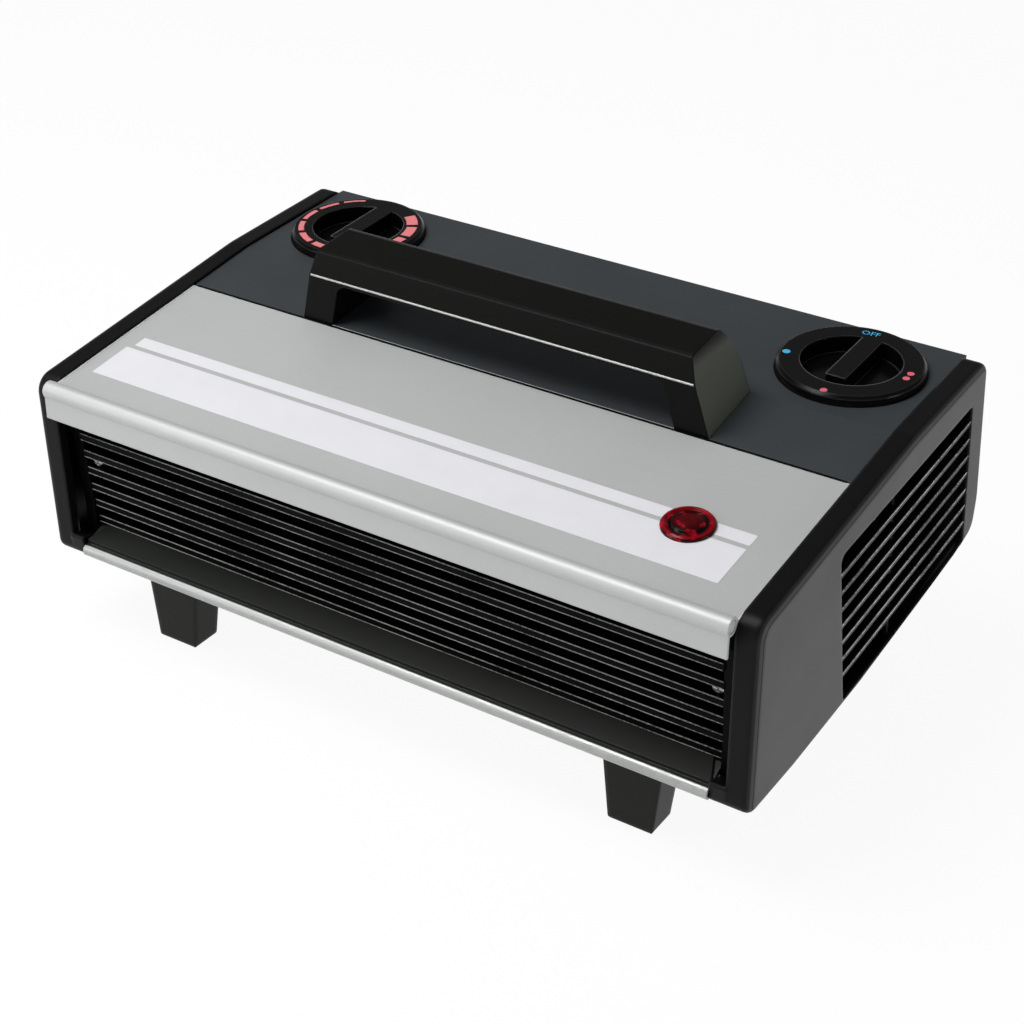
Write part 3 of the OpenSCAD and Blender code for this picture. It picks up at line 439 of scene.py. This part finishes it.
# Two painted highlight lines run along each blade's lip.
lip_highlights = bmesh.new()
for blade in range(blade_count):
    blade_top = blade_low + blade * blade_pitch
    blade_back = blade_front - blade * blade_lean + lip_sink
    long_bead(lip_highlights, blade_half, blade_back, blade_top - lip_inset, lip_edge_r)
    long_bead(lip_highlights, blade_half, blade_back, blade_top - blade_lip + lip_inset, lip_edge_r)
add_piece("blade_edge_highlights", lip_highlights, painted_highlight_line("enamel edge highlight", bright=0.3), "chassis")

# The end caps are two charcoal mouldings that close the case and guard the side inlets.
# Their mould was spark eroded to a fine even grain, and they are screwed on from inside. The broad side is
# painted paler than the rounded edges and the inlet bars, as a sheen from the side light, and painted
# highlight lines run along the bars' upper edges.
# The band along X and the gain below paint the broad side paler, as a sheen of light.
cap_lit_side = (0.1783, 0.1799, 0.1809, 12)
cap_plastic = moulded(
    "cap plastic",
    (0.0035, 0.0035, 0.0034),
    roughness=0.4,
    grain=1900,
    depth=0.00005,
    edge_radius=0.002,
    rubbed_and_lit=0.02,
    shine=0.1,
    lit_side=cap_lit_side,
)
dress(cap_plastic, "left_end_cap", "right_end_cap")
inlet_count = 7
inlet_foot = 0.0598
inlet_pitch = 0.009283
inlet_back = 0.081
inlet_rise = math.tan(math.radians(4.5))
inlet_front_edge = (0.0675, 0.1248, 0.2312)
inlet_rear_edge = (0.1991, 0.1334, 0.1602)
inlet_x = 0.18045
inlet_edge_r = 0.0003
inlet_edge_sink = 0.0001
# Each bar gets a painted highlight line along its upper edge.
inlet_highlights = bmesh.new()
for bar in range(inlet_count):
    bar_height = inlet_foot + bar * inlet_pitch
    bar_ends = []
    for top_back, top_height, lean in (inlet_front_edge, inlet_rear_edge):
        drop = top_height - bar_height + inlet_back * inlet_rise
        end_back = (top_back + lean * drop) / (1 + lean * inlet_rise)
        end_height = bar_height + (end_back - inlet_back) * inlet_rise - inlet_edge_sink
        bar_ends.append((front_y + end_back, end_height))
    for side in (-1, 1):
        bead(inlet_highlights, (side * inlet_x, *bar_ends[0]), (side * inlet_x, *bar_ends[1]), inlet_edge_r)
add_piece("inlet_highlights", inlet_highlights, painted_highlight_line("bar edge highlight", bright=0.6), "chassis")

# Two black blocks fill the corners behind the rail, where the tray meets the caps.
# They are painted shade, dark where those corners lie in shadow.
shade_block_size = (0.0057, 0.0075, 0.0045)
shade_block_x = 0.16035
shade_block_back = 0.01175
shade_block_z = 0.04475
# This black stands in for shade in gaps and corners.
shade_black_plastic = moulded(
    "shade black",
    (0.003, 0.003, 0.003),
    roughness=0.5,
    grain=2300,
    depth=0.00002,
    edge_radius=0.0003,
    rubbed_and_lit=0.0,
    shine=0.05,
)
shade_blocks = bmesh.new()
for side in (-1, 1):
    shade_block = bmesh.ops.create_cube(shade_blocks, size=1)["verts"]
    bmesh.ops.scale(shade_blocks, vec=shade_block_size, verts=shade_block)
    bmesh.ops.translate(shade_blocks, vec=(side * shade_block_x, front_y + shade_block_back, shade_block_z), verts=shade_block)
add_piece("corner_shade_blocks", shade_blocks, shade_black_plastic, "chassis")


# The front panel is one steel sheet with a rolled nose, sprayed silver before it is fitted between the caps.
# The spray leaves metal flakes of different tilt and a soft orange peel. Pressed discs close the nose's ends,
# and pale lines along the side edges are painted highlights.
def silver_spray(name, colour):
    """Silver paint with flakes, haze and orange peel."""
    flake_scale = 2600
    peel_scale = 520
    haze_scale = 16
    peel_depth = 0.00002
    fold_radius = 0.0006
    finish = Finish(name, Metallic=0.3, Coat_Weight=0.08, Coat_Roughness=0.35)
    flake = finish.node(
        "ShaderNodeTexVoronoi", inputs={"Vector": finish.place, "Scale": flake_scale}, output="Color"
    )
    tilt = finish.node("ShaderNodeSeparateColor", inputs={"Color": flake}, output=0)
    peel = finish.noise(peel_scale, 2)
    haze = finish.noise(haze_scale, 3)
    rounded, edge = finish.edge_nearness(fold_radius)
    tone = finish.blend(0.45 * tilt + 0.55 * haze, shaded(colour, 0.93), shaded(colour, 1.06))
    gloss = 0.52 + 0.12 * (tilt - 0.5) + 0.08 * (haze - 0.5) - 0.05 * edge
    finish.surface(tone, gloss, 0.7 * peel + 0.3 * tilt, peel_depth, rounded)
    return finish.material


silver_paint = silver_spray("silver spray", (0.47, 0.485, 0.475))
dress(silver_paint, "front_panel")
panel_low, panel_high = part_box("front_panel")
front_z = 0.1275
front_slope = 17 / 137.6
panel_tilt = math.atan(front_slope)
nose_front = 0.002
nose_z = 0.12725
plug_r = 0.00276
plug_inset = 0.0003
plug_end = 0.002
glint_inset = 0.0002
glint_r = 0.0003
glint_start = 0.003
glint_end = 0.097


def on_panel(x, back, lift):
    """A point on the silver panel, given its distance behind the front edge."""
    normal = Vector((0, -math.sin(panel_tilt), math.cos(panel_tilt)))
    return Vector((x, front_y + back, front_z + back * front_slope)) + normal * lift


plugs = bmesh.new()
edge_glint_lines = bmesh.new()
for end_x, inward in ((panel_low[0], 1), (panel_high[0], -1)):
    outer = (end_x + inward * plug_inset, front_y - nose_front, nose_z)
    inner = (end_x + inward * plug_end, front_y - nose_front, nose_z)
    bead(plugs, outer, inner, plug_r)
    edge_x = end_x + inward * glint_inset
    bead(edge_glint_lines, on_panel(edge_x, glint_start, 0), on_panel(edge_x, glint_end, 0), glint_r)
add_piece("nose_plugs", plugs, silver_paint, "chassis")
# The pale edge lines are painted highlights along the panel's sides.
edge_glint_steel = coated_steel("edge glint steel", (0.8, 0.81, 0.8), roughness=0.4, crystal=600, metal=0.2)
add_piece("panel_edge_glints", edge_glint_lines, edge_glint_steel, "chassis")

# Two white bands are screen printed across the panel, a broad one near the nose and a narrow one behind it.
# The ink lies a few hundredths of a millimetre proud and stops short of both ends.
ink_lift = 0.00006
band_corner = 0.0005


def printed_band(left, right, near, far):
    """A flat print with rounded corners, thick enough to catch the light at its edge."""
    band = bmesh.new()
    bmesh.ops.create_cube(band, size=1)
    bmesh.ops.scale(band, vec=(right - left, (far - near) / math.cos(panel_tilt), ink_lift), verts=band.verts)
    corners = [e for e in band.edges if abs(e.verts[0].co.z - e.verts[1].co.z) > ink_lift / 2]
    bmesh.ops.bevel(
        band,
        geom=corners,
        offset=band_corner,
        offset_type="OFFSET",
        affect="EDGES",
        segments=4,
        profile=0.5,
        material=-1,
    )
    bmesh.ops.rotate(band, cent=(0, 0, 0), matrix=Matrix.Rotation(panel_tilt, 3, "X"), verts=band.verts)
    bmesh.ops.translate(band, vec=on_panel((left + right) / 2, (near + far) / 2, ink_lift), verts=band.verts)
    return band


def printing_ink(name, colour, roughness):
    """Screen ink with a slight mesh mark and uneven cover."""
    weave_scale = 3200
    cover_scale = 60
    weave_depth = 0.000008
    finish = Finish(name)
    weave = finish.noise(weave_scale, 1)
    cover = finish.noise(cover_scale, 3)
    rounded, edge = finish.edge_nearness(0.0001)
    tone = finish.blend(cover, shaded(colour, 0.93), shaded(colour, 1.02))
    finish.surface(tone, roughness + 0.15 * (weave - 0.5) - 0.05 * edge, weave, weave_depth, rounded)
    return finish.material


white_ink = printing_ink("white ink", (0.7, 0.7, 0.73), roughness=0.5)
broad_band = printed_band(left=-0.162, right=0.153, near=0.0177, far=0.041)
add_piece("broad_band", broad_band, white_ink, "chassis")
narrow_band = printed_band(left=-0.1595, right=0.153, near=0.0435, far=0.0505)
add_piece("narrow_band", narrow_band, white_ink, "chassis")

# The indicator is a clear red moulding with a flange, pushed through the panel over a neon lamp and held by a
# clip ring underneath. Its ribbed dome sits inside a rim, and rings of red by distance from the middle paint
# shade in the groove between them and light on the rim, with bright patches painted over as glints.
lens_x = 0.126
lens_back = 0.0437
lens_rise = 0.002
lens_r = 0.0112
lens_middle = on_panel(lens_x, lens_back, lens_rise)
lens_light_and_shade = (
    (0.3, (0.06, 0.0, 0.001, 1)),
    (0.56, (0.02, 0.0, 0.0004, 1)),
    (0.64, (0.002, 0.0, 0.0, 1)),
    (0.72, (0.004, 0.0, 0.0, 1)),
    (0.8, (0.15, 0.0005, 0.003, 1)),
    (0.92, (0.2, 0.0008, 0.005, 1)),
    (0.99, (0.008, 0.0, 0.0, 1)),
)
glint_red = (0.38, 0.001, 0.015, 1)
glint_scale = 260
rib_scale = 300
rib_depth = 0.00006
lens = Finish("red lens", Specular_IOR_Level=0.12, Coat_Weight=0.05, Coat_Roughness=0.06)
from_middle = lens.node(
    "ShaderNodeVectorMath", {"operation": "DISTANCE"}, {0: lens.place, 1: lens_middle}, output="Value"
)
# The rings paint shade in the groove and light on the rim.
ring_light_and_shade = lens.node("ShaderNodeValToRGB", {"stops": lens_light_and_shade}, {"Fac": from_middle * (1 / lens_r)})
ribs = lens.node("ShaderNodeTexVoronoi", inputs={"Vector": lens.place, "Scale": rib_scale}, output="Distance")
# The bright patches are painted glints.
glint_share = lens.ramp(lens.noise(glint_scale, 1), 0.55, 0.7)
lens_rounded, lens_edge = lens.edge_nearness(0.0005)
lens.surface(
    lens.blend(0.75 * glint_share, ring_light_and_shade, glint_red),
    0.12 + 0.1 * ribs - 0.04 * lens_edge,
    ribs,
    rib_depth,
    lens_rounded,
)
dress(lens.material, "indicator_lens")
glass_scale = 400
glass_depth = 0.00001
lamp_orange = (0.75, 0.32, 0.14, 1)
lamp_pale = (0.9, 0.5, 0.3, 1)
lamp = Finish("lamp glass", Coat_Weight=0.6)
lamp_haze = lamp.noise(glass_scale, 2)
lamp_rounded, lamp_edge = lamp.edge_nearness(0.0003)
lamp.surface(
    lamp.blend(lamp_haze, lamp_orange, lamp_pale),
    0.12 + 0.1 * lamp_haze - 0.02 * lamp_edge,
    lamp_haze,
    glass_depth,
    lamp_rounded,
)
dress(lamp.material, "neon_lamp")
clip_steel = coated_steel("clip steel", (0.55, 0.55, 0.54), roughness=0.32, crystal=700, metal=0.9)
dress(clip_steel, "indicator_clip")
dress(cream_plastic, "neon_holder")

# The cover is a dark blue-grey moulding with a long crease, sunk round each dial, and it meets the panel at a
# seam, where a black strip is painted shade. Its grain is finer than the end caps', with a dull sheen, and a
# pale line along its front edge under the grip is a painted highlight.
cover_plastic = moulded(
    "cover plastic",
    (0.037, 0.042, 0.046),
    roughness=0.48,
    grain=2300,
    depth=0.00003,
    edge_radius=0.0009,
    rubbed_and_lit=0.05,
    shine=0.15,
)
dress(cover_plastic, "top_cover")
seam_back = 0.0988
seam_shade_half = 0.168
seam_shade_width = 0.0014
cover_highlight_half = 0.09
cover_highlight_inset = 0.0002
cover_highlight_sink = 0.00005
cover_highlight_r = 0.00025
crease_back = 0.1376
crease_half = 0.1685
crease_sink = 0.0001
crease_r = 0.00018
crease_line = bmesh.new()
long_bead(crease_line, crease_half, crease_back, front_z + crease_back * front_slope - crease_sink, crease_r)
add_piece("cover_crease", crease_line, cover_plastic, "chassis")
cover_highlight_plastic = moulded(
    "cover highlight plastic",
    (0.3, 0.31, 0.315),
    roughness=0.45,
    grain=1900,
    depth=0.00001,
    edge_radius=0.0002,
    rubbed_and_lit=0.05,
    shine=0.3,
)
# A pale line painted as a highlight along the cover's front edge under the grip.
cover_highlight_line = bmesh.new()
long_bead(cover_highlight_line, cover_highlight_half, seam_back + cover_highlight_inset, front_z + seam_back * front_slope - cover_highlight_sink, cover_highlight_r)
add_piece("cover_edge_highlight", cover_highlight_line, cover_highlight_plastic, "chassis")
# A black strip along the seam is painted shade in the gap.
seam_shade_strip = printed_band(left=-seam_shade_half, right=seam_shade_half, near=seam_back - seam_shade_width, far=seam_back)
add_piece("seam_gap", seam_shade_strip, shade_black_plastic, "chassis")

# The dials are glossy black mouldings with a flat rim for the marks, a sunk well and a grip bar.
# Each is pushed on its flatted spindle, with a white index printed behind it. A black ring round each is
# painted shade in the gap to the cover, and the dials' paler rounded edges are painted highlights.
dial_plastic = moulded(
    "dial plastic",
    (0.0022, 0.0022, 0.0025),
    roughness=0.2,
    grain=1200,
    depth=0.00001,
    edge_radius=0.0011,
    rubbed_and_lit=0.05,
    shine=0.12,
)
dress(dial_plastic, "thermostat_knob", "selector_knob")
deck_slope = 3.5 / 75.4
deck_tilt = math.atan(deck_slope)
dial_x = 0.132
dial_y = 0.068
dial_z = 0.146352
shade_ring_inner = 0.0318
shade_ring_outer = 0.0333
index_width = 0.0024
index_x = 0.001
index_y = 0.036


def dial_frame(side):
    """The dial's own axes: X across, Y up the deck, Z out of the deck."""
    return Matrix.Translation((side * dial_x, dial_y, dial_z)) @ Matrix.Rotation(deck_tilt, 4, "X")


def ring_bar(shape, inner, outer, start, sweep, lift):
    """A piece of ring between two radii, swept anticlockwise from a start angle."""
    near = shape.verts.new((inner * math.cos(start), inner * math.sin(start), lift))
    far = shape.verts.new((outer * math.cos(start), outer * math.sin(start), lift))
    edge = shape.edges.new((near, far))
    whole = sweep == math.tau
    bmesh.ops.spin(
        shape,
        geom=[near, far, edge],
        cent=(0, 0, 0),
        axis=(0, 0, 1),
        angle=sweep,
        steps=72 if whole else 6,
        use_merge=whole,
        use_duplicate=False,
    )


def thicken(shape):
    """Gives a flat print its thickness, downwards from its face."""
    grown = bmesh.ops.extrude_face_region(shape, geom=shape.faces[:])["geom"]
    under = [g for g in grown if isinstance(g, bmesh.types.BMVert)]
    bmesh.ops.translate(shape, vec=(0, 0, -ink_lift), verts=under)
    bmesh.ops.recalc_face_normals(shape, faces=shape.faces)


# Black rings round the dials are painted shade in the gap.
dial_shade_rings = bmesh.new()
index = bmesh.new()
for side in (-1, 1):
    before = set(dial_shade_rings.verts)
    ring_bar(dial_shade_rings, shade_ring_inner, shade_ring_outer, 0, math.tau, ink_lift)
    ring = [v for v in dial_shade_rings.verts if v not in before]
    bmesh.ops.transform(dial_shade_rings, matrix=dial_frame(side), verts=ring)
    mark = bmesh.ops.create_cube(index, size=1)["verts"]
    bmesh.ops.scale(index, vec=(index_width, index_width, ink_lift), verts=mark)
    bmesh.ops.translate(index, vec=(-side * index_x, index_y, ink_lift), verts=mark)
    bmesh.ops.transform(index, matrix=dial_frame(side), verts=mark)
thicken(dial_shade_rings)
add_piece("dial_shade", dial_shade_rings, shade_black_plastic, "chassis")
add_piece("index_lines", index, white_ink, "chassis")

# The heat marks are a ring of growing bars printed on the thermostat dial, pink inside a thin dark red line.
# They are printed in two passes, so the pink lies over the red, and they turn with the dial.
rim_height = 0.0046
rim_top = rim_height + ink_lift
bar_count = 11
bar_pitch = math.radians(27.3)
bar_sweep = math.radians(21.6)
bar_start = math.radians(119)
bar_outer = 0.0292
bar_least = 0.0014
bar_growth = 0.004
line_width = 0.0003
line_angle = 0.01
line_sweep = bar_sweep + 2 * line_angle
line_outer = bar_outer + line_width
red_lines = bmesh.new()
pink_bars = bmesh.new()
for step in range(bar_count):
    bar_inner = bar_outer - bar_least - bar_growth * step / (bar_count - 1)
    begin = bar_start + step * bar_pitch
    ring_bar(red_lines, bar_inner - line_width, line_outer, begin - line_angle, line_sweep, rim_top)
    ring_bar(pink_bars, bar_inner, bar_outer, begin, bar_sweep, rim_top + ink_lift)
red_ink = printing_ink("red ink", (0.09, 0.006, 0.01), roughness=0.4)
pink_ink = printing_ink("pink ink", (0.72, 0.2, 0.22), roughness=0.4)
for name, bars, ink in (("heat_bar_edges", red_lines, red_ink), ("heat_bars", pink_bars, pink_ink)):
    thicken(bars)
    bmesh.ops.transform(bars, matrix=dial_frame(-1), verts=bars.verts)
    add_piece(name, bars, ink, "thermostat")

# The switch marks are printed on the other dial: OFF and a dot in blue, and one and two dots in a warm red.
# They are single screen prints on the flat rim, and they turn with the dial.
blue_ink = printing_ink("blue ink", (0.05, 0.42, 0.75), roughness=0.4)
warm_ink = printing_ink("warm ink", (0.75, 0.12, 0.17), roughness=0.4)
cool_places = ((0.0284, 195),)
warm_places = ((0.0297, 272), (0.0268, -6), (0.0268, 4))
letter_height = 0.0048
letter_foot = 0.0248
letter_turn = math.radians(6)
letter_join = 0.000001


def dots(places, radius):
    """Round dots on the switch dial, each at a distance from its middle and an angle from the right."""
    spots = bmesh.new()
    for middle, angle in places:
        spot = bmesh.ops.create_circle(spots, cap_ends=True, segments=24, radius=radius)["verts"]
        place = (middle * math.cos(math.radians(angle)), middle * math.sin(math.radians(angle)), rim_top)
        bmesh.ops.translate(spots, vec=place, verts=spot)
    thicken(spots)
    bmesh.ops.transform(spots, matrix=dial_frame(1), verts=spots.verts)
    return spots


add_piece("cool_dot", dots(cool_places, radius=0.0018), blue_ink, "selector")
add_piece("warm_dots", dots(warm_places, radius=0.0016), warm_ink, "selector")
lettering = bpy.data.curves.new("off_letters", "FONT")
lettering.body = "OFF"
lettering.size = letter_height
lettering.align_x = "CENTER"
letters = bpy.data.objects.new("off_letters", lettering)
bpy.context.scene.collection.objects.link(letters)
bpy.context.view_layer.update()
letter_mesh = bpy.data.meshes.new_from_object(letters.evaluated_get(bpy.context.evaluated_depsgraph_get()))
bpy.data.objects.remove(letters)
off_mark = bmesh.new()
off_mark.from_mesh(letter_mesh)
bmesh.ops.translate(off_mark, vec=(0, letter_foot, rim_top), verts=off_mark.verts)
bmesh.ops.rotate(off_mark, cent=(0, 0, 0), matrix=Matrix.Rotation(letter_turn, 3, "Z"), verts=off_mark.verts)
bmesh.ops.remove_doubles(off_mark, verts=off_mark.verts, dist=letter_join)
thicken(off_mark)
bmesh.ops.transform(off_mark, matrix=dial_frame(1), verts=off_mark.verts)
add_piece("off_mark", off_mark, blue_ink, "selector")

# The handle is one thick black moulding that bridges the cover, held by screws driven up through the cover.
# Its plastic is smoother than the end caps', its ends are painted paler as lit from the side, and a painted
# highlight line runs along the grip's lower front edge.
# The ends' paler tone is painted light, as lit from the side.
handle_lit_ends = (0.0955, 0.097, 0.09, 16)
handle_plastic = moulded(
    "handle plastic",
    (0.003, 0.0033, 0.0026),
    roughness=0.38,
    grain=1500,
    depth=0.00003,
    edge_radius=0.0012,
    rubbed_and_lit=0.001,
    shine=0.08,
    lit_side=handle_lit_ends,
)
dress(handle_plastic, "carry_handle")
grip_half = 0.098
grip_back = 0.0963
grip_z = 0.1637
grip_edge_r = 0.0005
# The pale line is a painted highlight.
grip_highlight = bmesh.new()
long_bead(grip_highlight, grip_half, grip_back, grip_z, grip_edge_r)
grip_highlight_finish = coated_steel("grip highlight", (0.4, 0.4, 0.39), roughness=0.3, crystal=700, metal=0.2)
add_piece("grip_edge_highlight", grip_highlight, grip_highlight_finish, "chassis")

# The fixings are plated steel screws. Those of the louvre and the back are driven from outside and stay in
# view, and those of the caps, the handle and the feet are driven from inside the case.
dress(plated_steel, "grille_screws", "rear_screws", "cap_screws", "handle_screws", "foot_screws")

# The studio has a pale floor that fills the view, under a soft grey sky that is paler at the horizon.
# A large key lamp hangs high on the front left, and two weaker lamps stand low at the front and on the right.
floor_reach = 6
floor_share = 0.93
floor_shape = bmesh.new()
bmesh.ops.create_grid(floor_shape, x_segments=2, y_segments=2, size=floor_reach)
floor_mesh = bpy.data.meshes.new("studio_floor")
floor_shape.to_mesh(floor_mesh)
floor_shape.free()
floor = bpy.data.objects.new("studio_floor", floor_mesh)
bpy.context.scene.collection.objects.link(floor)
floor_paint = Finish("floor paint", Base_Color=(0.9, 0.9, 0.9, 1), Specular_IOR_Level=0.0, Roughness=1.0)
seen = floor_paint.node("ShaderNodeLightPath", output="Is Camera Ray")
mirrored = floor_paint.node("ShaderNodeLightPath", output="Is Glossy Ray")
through = floor_paint.node("ShaderNodeLightPath", output="Is Transmission Ray")
plain = Value(floor_paint.tree, floor_paint.shader.outputs[0])
white = floor_paint.node("ShaderNodeEmission", inputs={"Color": (1, 1, 1, 1), "Strength": 1.0})
mixed = floor_paint.node(
    "ShaderNodeMixShader", inputs={0: floor_share * (seen + mirrored + through), 1: plain, 2: white}
)
floor_paint.feed(floor_paint.tree.nodes["Material Output"].inputs["Surface"], mixed)
floor_mesh.materials.append(floor_paint.material)

world = bpy.data.worlds.new("studio")
world.use_nodes = True
sky = world.node_tree.nodes["Background"]
sky.inputs["Color"].default_value = (1, 1, 1, 1)
direction = world.node_tree.nodes.new("ShaderNodeTexCoord")
upward = world.node_tree.nodes.new("ShaderNodeSeparateXYZ")
falloff = world.node_tree.nodes.new("ShaderNodeMapRange")
for socket, setting in (("From Min", 0.1), ("From Max", 0.24), ("To Min", 0.92), ("To Max", 0.2)):
    falloff.inputs[socket].default_value = setting
world.node_tree.links.new(direction.outputs["Generated"], upward.inputs[0])
world.node_tree.links.new(upward.outputs["Z"], falloff.inputs["Value"])
world.node_tree.links.new(falloff.outputs["Result"], sky.inputs["Strength"])
bpy.context.scene.world = world


def soft_lamp(name, place, aim, size, power):
    """A square area lamp turned towards a point."""
    lamp_data = bpy.data.lights.new(name, "AREA")
    lamp_data.shape = "SQUARE"
    lamp_data.size = size
    lamp_data.energy = power
    lamp_object = bpy.data.objects.new(name, lamp_data)
    lamp_object.location = place
    lamp_object.rotation_euler = (Vector(aim) - Vector(place)).to_track_quat("-Z", "Y").to_euler()
    bpy.context.scene.collection.objects.link(lamp_object)


soft_lamp("key", place=(-0.55, -0.5, 1.6), aim=(0, 0, 0.1), size=0.9, power=26)
soft_lamp("front", place=(-0.9, -1.1, 0.6), aim=(0, 0, 0.1), size=0.7, power=5.5)
soft_lamp("side", place=(1.35, 0.05, 0.14), aim=(0.1, 0, 0.1), size=0.4, power=6)

# The camera stands at the front right, above the heater, with a long lens.
# Its place, aim and slight roll put the case's corners where the photograph has them.
camera_place = Vector((0.43773, -0.68164, 0.54881))
camera_aim = Vector((-0.46204, 0.72343, -0.513)).normalized()
camera_roll = math.radians(0.542)
level = camera_aim.cross(Vector((0, 0, 1))).normalized()
upright = level.cross(camera_aim)
right = level * math.cos(camera_roll) + upright * math.sin(camera_roll)
up = right.cross(camera_aim)
camera_data = bpy.data.cameras.new("camera")
camera_data.sensor_width = 36
camera_data.lens = 72.37
camera = bpy.data.objects.new("camera", camera_data)
camera_turn = Matrix((right, up, -camera_aim)).transposed().to_4x4()
camera.matrix_world = Matrix.Translation(camera_place) @ camera_turn
bpy.context.scene.collection.objects.link(camera)
bpy.context.scene.camera = camera
bpy.context.scene.view_settings.view_transform = "Standard"
